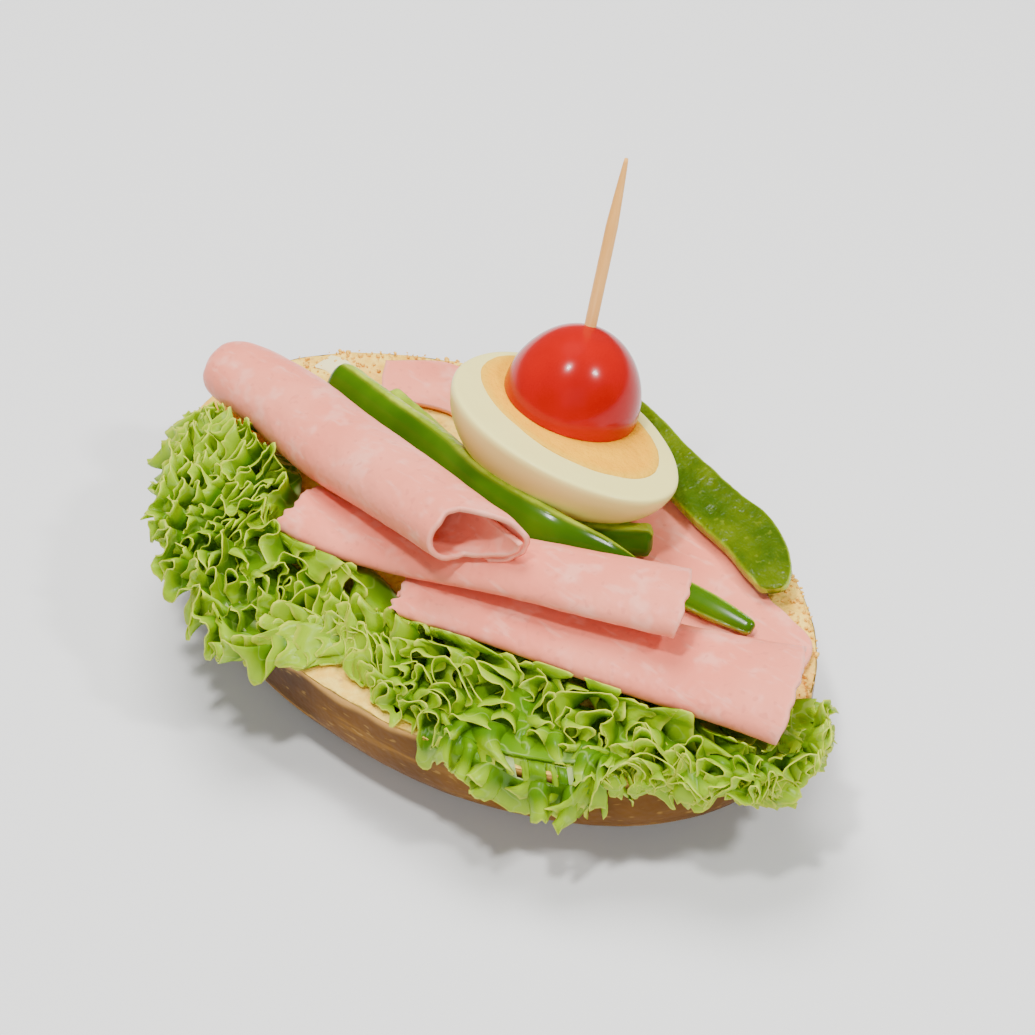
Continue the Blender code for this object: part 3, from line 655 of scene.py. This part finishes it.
def make_butter(material):
    """A smear of butter on the crumb beside the pepper."""
    points = []
    for i in range(BUTTER_ROWS):
        for j in range(BUTTER_COLUMNS):
            along, across = i / (BUTTER_ROWS - 1), j / (BUTTER_COLUMNS - 1)
            edge = math.sin(math.pi * along) ** 0.5 * math.sin(math.pi * across) ** 0.5
            x = (-72 + 22 * along) * MM
            y = (17.5 + 6 * across + 1.2 * math.sin(9 * along)) * MM
            rise = 0.7 * edge + 0.35 * relief((x, y, 0), 350, 3) * edge - 0.25
            points.append((x, y, BREAD_HEIGHT + (0.35 + rise) * MM))
    obj = mesh_object("butter_smear", points, grid_faces(BUTTER_ROWS, BUTTER_COLUMNS), material)
    stand_for(obj, None)


# Ham


def make_ham_roll(name, stations, material):
    """A slice rolled up once and a bit, softly wrinkled, with uneven ends."""
    seam, reach_by, ragged_left, ragged_right = ROLL_HABITS[name]
    rows = spline([[v * MM for v in station] for station in stations], ROLL_ROWS)
    folded = name == "ham_roll_front"
    points, edges = [], []
    length = np.linalg.norm(np.diff(rows[:, :3], axis=0), axis=1).sum()
    for i, (row, (ahead, side, up)) in enumerate(zip(rows, frames_along(rows[:, :3]))):
        t = i / (ROLL_ROWS - 1)
        middle = Vector(row[:3])
        half_width, half_height = row[3], row[4]
        for k in range(ROLL_COLUMNS + 1):
            turned = ROLL_TURNS * k / ROLL_COLUMNS
            angle = math.radians(seam) - 2 * math.pi * turned
            here = (t * length, half_width * math.cos(angle), half_height * math.sin(angle) + 0.02 * turned)
            crease = 0.22 * relief((here[0] * 0.45, here[1], here[2]), 120, 2) + 0.1 * relief(here, 260, 7)
            ends = eased(t, 0.9, 1.0) * ragged_right + (1 - eased(t, 0.0, 0.12)) * ragged_left
            crease += 0.28 * ends * relief(here, 230, 4)
            inwards = HAM_THICKNESS / 2 + HAM_LAYER_PITCH * turned - crease * MM + 0.1 * MM
            across = side * (half_width - inwards) * math.cos(angle)
            height = (half_height - inwards) * math.sin(angle)
            if folded and turned > 1:
                stood = (turned - 1) / (ROLL_TURNS - 1)
                across = side * 0.8 * MM * math.sin(3 * stood) * relief(here, 60, 1)
                height = (half_height - inwards) * (2 * stood - 1) - stood * HAM_THICKNESS / 2
            far = max(0.0, -math.cos(angle))
            slide = reach_by * far * eased(t, 0.86, 1.0) ** 2
            if not reach_by:
                slide -= SLANT * (half_height / MM) * (1 - math.cos(angle - FACING)) / 2 * eased(t, 0.85, 1.0)
            slide += ragged_right * eased(t, 0.9, 1.0) * relief((0, here[1], here[2]), 330, 5)
            slide += ragged_left * (1 - eased(t, 0.0, 0.1)) * (0.5 + relief((0, here[1], here[2]), 420, 6))
            if reach_by:
                flap = far * eased(t, 0.93, 1.0)
                height += flap * (1.6 * relief(here, 150, 12) - 1.0) * MM
            points.append(middle + across + ahead * slide * MM + up * height)
            rim = max(1 - min(1.0, t * length / (0.8 * MM)), 1 - min(1.0, (1 - t) * length / (0.8 * MM)))
            edges.append(max(rim, eased(turned, ROLL_TURNS - 0.02, ROLL_TURNS)))
    obj = mesh_object(name + "_sheet", points, grid_faces(ROLL_ROWS, ROLL_COLUMNS + 1), material)
    put_values(obj, "edge", edges)
    thicken(obj, HAM_THICKNESS)
    stand_for(obj, name)


def make_ham_slice(name, outline, material):
    """A slice lying flat, gently uneven."""
    closed = [(*p, 0) for p in outline] + [(*outline[0], 0)]
    rim = spline(closed, SLICE_SIDES + 1)[:-1, :2] * MM
    centre = rim.mean(axis=0)
    points, edges = [], []
    for k in range(1, SLICE_RINGS + 1):
        for x, y in centre + (rim - centre) * k / SLICE_RINGS:
            wander = 0.6 * MM * relief((x, y, 0), 170, 2) * k / SLICE_RINGS
            rise = (0.3 * relief((x, y, 0), 70) + 0.12 * relief((x, y, 0), 220, 3)) * MM
            points.append((x + wander, y + wander, SLICE_HEIGHT + rise))
            edges.append(eased(k / SLICE_RINGS, 0.96, 1.0))
    faces = grid_faces(SLICE_RINGS, SLICE_SIDES, closed=True)
    faces.append(tuple(range(SLICE_SIDES)))
    obj = mesh_object(name + "_sheet", points, faces, material)
    put_values(obj, "edge", edges)
    thicken(obj, HAM_THICKNESS)
    stand_for(obj, name)


# Pepper


def make_pepper(name, stations, material):
    """A strip of pepper wall: a soft-edged bar whose skin side bows out and whose inner wall is lumpy."""
    table = spline([[v * MM for v in station[:5]] + [station[5]] for station in stations], PEPPER_ROWS)
    steps = np.linalg.norm(np.diff(table[:, :3], axis=0), axis=1)
    travelled = np.concatenate([[0], np.cumsum(steps)])
    points, skins, inners = [], [], []
    for i, (row, (ahead, _, _)) in enumerate(zip(table, frames_along(table[:, :3]))):
        lean = math.radians(row[5])
        skin = Vector((0, -math.sin(lean), math.cos(lean)))
        skin = (skin - ahead * skin.dot(ahead)).normalized()
        across = ahead.cross(skin)
        near_end = min(travelled[i], travelled[-1] - travelled[i]) / (1.6 * MM)
        rounding = 0.55 + 0.45 * math.sqrt(1 - (1 - min(1.0, near_end)) ** 2)
        half_width, half_wall = row[3] / 2 * rounding, row[4] / 2 * rounding
        for k in range(PEPPER_SIDES):
            angle = 2 * math.pi * (k + 0.5) / PEPPER_SIDES
            u = math.copysign(abs(math.cos(angle)) ** 0.55, math.cos(angle))
            v = math.copysign(abs(math.sin(angle)) ** 0.55, math.sin(angle))
            bow = PEPPER_BOW * half_width * (1 - u * u)
            here = Vector(row[:3]) + across * half_width * u + skin * (half_wall * v + bow)
            lumps = (0.4 * relief(here, 180, 3) + 0.2 * relief(here, 420, 5)) * (1 - eased(v, -0.6, 0.5))
            lumps += 0.12 * relief(here, 60, 8)
            points.append(here + (skin * v + across * u * 0.5) * (lumps - 0.1) * MM)
            skins.append(eased(v, 0.7, 0.92))
            inners.append(1 - eased(v, -0.8, -0.5))
    faces = grid_faces(PEPPER_ROWS, PEPPER_SIDES, closed=True, capped=True)
    obj = mesh_object(name + "_strip", points, faces, material)
    put_values(obj, "skin", skins)
    put_values(obj, "inner", inners)
    stand_for(obj, name)


# Egg, tomato and stick


def egg_matrix():
    """Carries the egg's own frame, long axis X and cut face up at z 0, to its place on the roll."""
    turn = EGG_UP.to_track_quat("Z", "Y").to_matrix().to_4x4()
    long_axis = turn.inverted() @ Vector((math.cos(EGG_TURN), math.sin(EGG_TURN), 0))
    spin = Matrix.Rotation(math.atan2(long_axis.y, long_axis.x), 4, "Z")
    return Matrix.Translation(EGG_FACE_CENTRE) @ turn @ spin


def turned_body(name, profile, columns, shape, material, matrix):
    """A closed body: a profile of (radius, height) carried round the Z axis, each point bent by shape."""
    points = []
    for radius, height in profile:
        for k in range(columns):
            angle = 2 * math.pi * k / columns
            points.append(shape(radius, height, angle))
    obj = mesh_object(name, points, grid_faces(len(profile), columns, closed=True, capped=True), material)
    obj.matrix_world = matrix
    return obj


def make_egg_white(material):
    """The white of the egg half: flat face, narrow rounded edge and a smooth round underside."""
    face = [(r, 0.0) for r in np.linspace(0.03, 0.955, 40)]
    edge = [(0.972, -0.004), (0.984, -0.013), (0.992, -0.03), (0.996, -0.055)]
    under = [(math.cos(a), -math.sin(a)) for a in np.linspace(0.085, math.pi / 2 - 0.02, 60)]
    profile = face + edge + under

    def shape(radius, height, angle):
        x, y = radius * math.cos(angle), radius * math.sin(angle)
        narrow = 1 - EGG_TAPER * x
        uneven = 1 + 0.006 * relief((x, y, height), 2.2, 3)
        z = EGG_HALF_SIZES[2] * height * narrow + 0.12 * MM * relief((x, y, 0), 3.5, 6)
        return (EGG_HALF_SIZES[0] * x * uneven, EGG_HALF_SIZES[1] * y * narrow * uneven, z)

    obj = turned_body("egg_white_half", profile, EGG_COLUMNS, shape, material, egg_matrix())
    put_values(obj, "depth", np.repeat([-h for _, h in profile], EGG_COLUMNS))
    stand_for(obj, "egg_white")


def make_egg_yolk(material):
    """The yolk, standing a hair above the face of the white, with a slightly uneven outline."""
    top = [(r, 1.0) for r in np.linspace(0.03, 0.95, 40)]
    edge = [(0.975, 0.9), (0.992, 0.55), (1.0, 0.0), (1.0, -2.0)]
    profile = top + edge

    def shape(radius, height, angle):
        x, y = radius * math.cos(angle), radius * math.sin(angle)
        uneven = 1 + 0.02 * relief((math.cos(angle), math.sin(angle), 0), 1.8, 3)
        z = YOLK_RISE * height + 0.1 * MM * relief((x, y, 0), 9, 6)
        along = YOLK_SHIFT[0] + YOLK_HALF_SIZES[0] * x * uneven
        across = YOLK_SHIFT[1] + YOLK_HALF_SIZES[1] * y * uneven
        return (along, across, z)

    obj = turned_body("egg_yolk_half", profile, EGG_COLUMNS, shape, material, egg_matrix())
    put_values(obj, "outward", np.repeat([r for r, _ in profile], EGG_COLUMNS))
    stand_for(obj, "egg_yolk")


def make_tomato(material):
    """The tomato half: a tall dome, a little dimpled where the stick goes in."""
    dome = [(math.sin(a), math.cos(a)) for a in np.linspace(0.02, math.pi / 2 - 0.03, 70)]
    edge = [(0.998, 0.012), (0.985, 0.0)]
    flat = [(r, 0.0) for r in np.linspace(0.94, 0.05, 12)]
    profile = dome + edge + flat

    def shape(radius, height, angle):
        x, y = radius * math.cos(angle), radius * math.sin(angle)
        uneven = 1 + 0.008 * relief((x, y, height), 1.6, 2)
        z = height * (1 - 0.02 * math.exp(-((radius / 0.16) ** 2)))
        return (TOMATO_RADIUS * x * uneven, TOMATO_RADIUS * y * uneven, TOMATO_HEIGHT * z)

    matrix = Matrix.Translation(TOMATO_BASE) @ EGG_UP.to_track_quat("Z", "Y").to_matrix().to_4x4()
    obj = turned_body("tomato_half", profile, TOMATO_COLUMNS, shape, material, matrix)
    cut = [1.0 if k >= len(dome) + 1 else 0.0 for k in range(len(profile))]
    put_values(obj, "cut", np.repeat(cut, TOMATO_COLUMNS))
    stand_for(obj, "tomato")


def make_stick(material):
    """The cocktail stick, with a long slightly uneven point at each end."""
    profile = []
    for z in np.linspace(0, STICK_LENGTH, 90):
        from_end = min(z, STICK_LENGTH - z)
        radius = min(1.0, 0.3 + 0.7 * (from_end / (15 * MM)) ** 0.8)
        profile.append((STICK_RADIUS * radius, z))

    def shape(radius, height, angle):
        radius *= 1 + 0.03 * relief((math.cos(angle), math.sin(angle), height * 60), 1.5)
        return (radius * math.cos(angle), radius * math.sin(angle), height)

    turn = STICK_AXIS.to_track_quat("Z", "Y").to_matrix().to_4x4()
    matrix = Matrix.Translation(STICK_TOP - STICK_AXIS * STICK_LENGTH) @ turn
    obj = turned_body("cocktail_stick_wood", profile, STICK_COLUMNS, shape, material, matrix)
    stand_for(obj, "cocktail_stick")


# Lettuce


def lettuce_lines(count):
    """The margins of the outermost and innermost frill and the roots of both, as count points each."""
    rows = spline([[v * MM for v in station] for station in LETTUCE_STATIONS], count)
    outer, inner = rows[:, :3].copy(), rows[:, 3:6]
    outer_root = np.column_stack([rows[:, 6:8], np.full(count, LEAF_HEIGHT)])
    inwards = outer_root[:, :2] - outer[:, :2]
    inwards /= np.linalg.norm(inwards, axis=1)[:, None]
    outer[:, :2] += inwards * RUFFLE_ROOM
    inner_root = np.column_stack([inner[:, :2] + inwards * INNER_ROOT_STEP, np.full(count, LEAF_HEIGHT)])
    return outer, inner, outer_root, inner_root


def smoothed(line, span):
    """A line of points, each the mean of its neighbourhood."""
    wide = np.vstack([np.repeat(line[:1], span, axis=0), line, np.repeat(line[-1:], span, axis=0)])
    kernel = np.ones(2 * span + 1) / (2 * span + 1)
    return np.stack([np.convolve(wide[:, i], kernel, "valid") for i in range(line.shape[1])], axis=1)


def meander(count, outward, seed):
    """A line that winds like a river: how far each sample is along and across, as shares of the length."""
    turns = np.arange(count * FRILL_SAMPLES) / FRILL_SAMPLES
    phase = 2 * math.pi * turns + 1.5 * wavering(turns * 0.21, seed)
    vigour = 1 + 0.22 * wavering(turns * 0.33, seed + 100)
    heading = FRILL_SWING * outward**0.6 * vigour * np.sin(phase)
    fine = 0.7 * outward**4 * (1 + 0.5 * wavering(turns * 0.6, seed + 200))
    heading = heading + fine * np.sin(3.1 * phase + 2.0 * wavering(turns * 0.4, seed + 300))
    along = np.concatenate([[0], np.cumsum(np.cos(heading))])
    across = np.concatenate([[0], np.cumsum(np.sin(heading))])
    across -= smoothed(across[:, None], int(FRILL_SAMPLES * 1.0))[:, 0]
    return along / along[-1], across / along[-1]


def clear_of_ham(place):
    """Moves points that are in or over a roll of ham to its outer side, or under it if they are far in."""
    for stations in HAM_ROLLS.values():
        rows = spline([[v * MM for v in station] for station in stations], 60)
        frames = np.array([[list(axis) for axis in frame] for frame in frames_along(rows[:, :3])])
        nearest = np.argmin(np.linalg.norm(place[:, None] - rows[None, :, :3], axis=2), axis=1)
        offset = place - rows[nearest, :3]
        ahead, side, up = (frames[nearest, k] for k in range(3))
        along = np.einsum("ij,ij->i", offset, ahead)
        u = np.einsum("ij,ij->i", offset, side) / (rows[nearest, 3] + HAM_CLEARANCE)
        v = np.einsum("ij,ij->i", offset, up) / (rows[nearest, 4] + HAM_CLEARANCE)
        chord = np.sqrt(np.maximum(0, 1 - u**2))
        held = (np.abs(u) < 1) & (v > -chord) & (np.abs(along) < 2 * MM)
        beside = held & (u > 0.3)
        new_v = np.where(beside, np.minimum(v, 0.3), np.where(held, -chord, v))
        new_u = np.where(beside, np.sqrt(np.maximum(0, 1 - np.minimum(1, new_v**2))), u)
        sideways = side * ((new_u - u) * (rows[nearest, 3] + HAM_CLEARANCE))[:, None]
        upwards = up * ((new_v - v) * (rows[nearest, 4] + HAM_CLEARANCE))[:, None]
        place = place + sideways + upwards
    return place


def clear_of_bread(place):
    """Moves points that are inside the bread up to its crumb or out to its crust."""
    share = np.hypot(place[:, 0] / (BREAD_LENGTH / 2), place[:, 1] / (BREAD_WIDTH / 2))
    low = place[:, 2] < BREAD_HEIGHT + 0.9 * MM
    on_top = low & (share < 0.975)
    beside = low & ~on_top & (share < 1.02)
    place[on_top, 2] = BREAD_HEIGHT + 0.9 * MM
    place[beside, :2] *= (1.02 / share[beside])[:, None]
    return place


def make_frill(tier, lines, material):
    """One tier of frill: straight at its root, winding more and more towards its toothed margin."""
    outer, inner, outer_root, inner_root = lines
    share = max(0, tier) / (FRILL_TIERS - 1)
    margin = inner * (1 - share) + outer * share
    root = inner_root * (1 - share) + outer_root * share
    if tier < 0:
        inwards = inner_root[:, :2] - inner[:, :2]
        inwards *= (FRILLS_BY_HAM[tier] / np.linalg.norm(inwards, axis=1))[:, None]
        margin[:, :2] += inwards
        margin[:, 2] += RISE_BY_HAM * np.clip(-margin[:, 0] / 0.03, 0, 1)
        root[:, :2] += inwards
    depth = np.linalg.norm(root - margin, axis=1)[:, None]
    root = margin + (root - margin) * np.minimum(1, FRILL_DEPTH / depth)
    length = np.linalg.norm(np.diff(smoothed(margin, 6), axis=0), axis=1).sum()
    forward = np.gradient(smoothed(margin, 8), axis=0)
    places = np.linspace(0, 1, len(margin))
    count = round(length / FRILL_WAVELENGTH)
    points, outwards = [], []
    for k in range(FRILL_ROWS + 1):
        outward = k / FRILL_ROWS
        along, across = meander(count, outward, 11 + tier)
        start = np.stack([np.interp(along, places, root[:, i]) for i in range(3)], axis=1)
        end = np.stack([np.interp(along, places, margin[:, i]) for i in range(3)], axis=1)
        ahead = np.stack([np.interp(along, places, forward[:, i]) for i in range(3)], axis=1)
        vary = 1 + 0.16 * wavering(along * count * 0.45, 40 + tier)
        teeth = 0.11 * np.maximum(0, wavering(along * count * 2.7, 60 + tier)) ** 2 * outward**5
        reach = (outward * vary + teeth)[:, None]
        ruffle = np.cross(end - start, ahead)
        ruffle /= np.linalg.norm(ruffle, axis=1)[:, None]
        arch = np.clip(LEAF_HEIGHT - end[:, 2], 0, 4 * MM) * 0.8 * math.sin(math.pi * outward)
        place = start + (end - start) * reach + ruffle * across[:, None] * length
        place[:, 2] += arch
        points.append(clear_of_bread(clear_of_ham(place)))
        outwards.append(np.full(len(place), outward))
    name = f"lettuce_frill_{tier + len(FRILLS_BY_HAM)}"
    faces = grid_faces(FRILL_ROWS + 1, len(points[0]))
    obj = mesh_object(name, np.concatenate(points), faces, material)
    put_values(obj, "outward", np.concatenate(outwards))
    thicken(obj, LEAF_THICKNESS)
    stand_for(obj, "lettuce")


def make_leaf(lines, material):
    """The leaf under the frills, lying on the crumb and over the roll's front edge."""
    _, _, outer_root, inner_root = lines
    points, outwards = [], []
    for k in range(LEAF_ROWS):
        share = 1.12 * k / (LEAF_ROWS - 1) - 0.02
        for x, y, z in inner_root * (1 - share) + outer_root * share:
            rise = 0.5 + 0.5 * relief((x, y, 0), 110, 2) + 0.2 * relief((x, y, 0), 300, 4)
            points.append((x, y, z + rise * MM))
            outwards.append(0.15 + 0.25 * (0.5 + relief((x, y, 0), 60, 7)))
    obj = mesh_object("lettuce_leaf", points, grid_faces(LEAF_ROWS, len(outer_root)), material)
    put_values(obj, "outward", outwards)
    thicken(obj, 2 * LEAF_THICKNESS)
    stand_for(obj, "lettuce")


# Stage


def make_camera():
    camera = bpy.data.cameras.new("camera")
    camera.lens = CAMERA_LENS
    camera.sensor_width = 36
    camera.clip_start = 0.01
    camera.clip_end = 20
    obj = bpy.data.objects.new("camera", camera)
    obj.location = CAMERA_PLACE
    obj.rotation_mode = "QUATERNION"
    obj.rotation_quaternion = Vector(CAMERA_AHEAD).to_track_quat("-Z", "Y")
    bpy.context.scene.collection.objects.link(obj)
    bpy.context.scene.camera = obj


def make_light(name, direction, distance, size, power, shines=True):
    """A rectangular soft light that looks at the sandwich from a direction."""
    light = bpy.data.lights.new(name, "AREA")
    light.shape = "RECTANGLE"
    light.size, light.size_y = size
    light.energy = power
    obj = bpy.data.objects.new(name, light)
    towards = Vector(direction).normalized()
    obj.location = Vector((0, 0, 0.04)) + towards * distance
    obj.rotation_mode = "QUATERNION"
    obj.rotation_quaternion = towards.to_track_quat("Z", "Y")
    obj.visible_glossy = shines
    bpy.context.scene.collection.objects.link(obj)


def make_stage():
    """Pale floor, even surroundings and soft window-like lights."""
    floor_points = [(-3, -3, 0), (3, -3, 0), (3, 3, 0), (-3, 3, 0)]
    n = Nodes("floor_looks")
    floor = mesh_object("floor", floor_points, [(0, 1, 2, 3)], n.finish((0.80, 0.80, 0.79), 0.85, shine=0.0))
    world = bpy.data.worlds.new("surroundings")
    world.use_nodes = True
    world.node_tree.nodes["Background"].inputs["Color"].default_value = (1, 1, 1, 1)
    world.node_tree.nodes["Background"].inputs["Strength"].default_value = 0.20
    bpy.context.scene.world = world
    make_light("window_left", (0.004, -0.186, 0.656), 0.9, (0.08, 0.10), 5.5)
    make_light("window_right", (0.35, 0.10, 0.438), 0.9, (0.08, 0.10), 4.5)
    make_light("overhead", (-0.35, 0.25, 1.0), 1.1, (0.6, 0.6), 18.0, shines=False)
    make_light("fill", (0.65, -0.65, 0.55), 1.2, (0.9, 0.6), 6.0, shines=False)


def main():
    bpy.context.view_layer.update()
    ham = ham_material()
    pepper = pepper_material()
    leaf = lettuce_material()
    make_bread(bread_material())
    make_crumbs(plain_material("crumb_looks", (0.90, 0.54, 0.09), 0.85))
    make_butter(plain_material("butter_looks", (0.92, 0.82, 0.42), 0.35))
    for name, stations in HAM_ROLLS.items():
        make_ham_roll(name, stations, ham)
    for name, outline in HAM_SLICES.items():
        make_ham_slice(name, outline, ham)
    for name, stations in PEPPER_STRIPS.items():
        make_pepper(name, stations, pepper)
    make_egg_white(egg_white_material())
    make_egg_yolk(yolk_material())
    make_tomato(tomato_material())
    make_stick(wood_material())
    lines = lettuce_lines(LETTUCE_COLUMNS)
    for tier in range(-len(FRILLS_BY_HAM), FRILL_TIERS):
        make_frill(tier, lines, leaf)
    make_leaf(lines, leaf)
    make_camera()
    make_stage()


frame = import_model()
main()
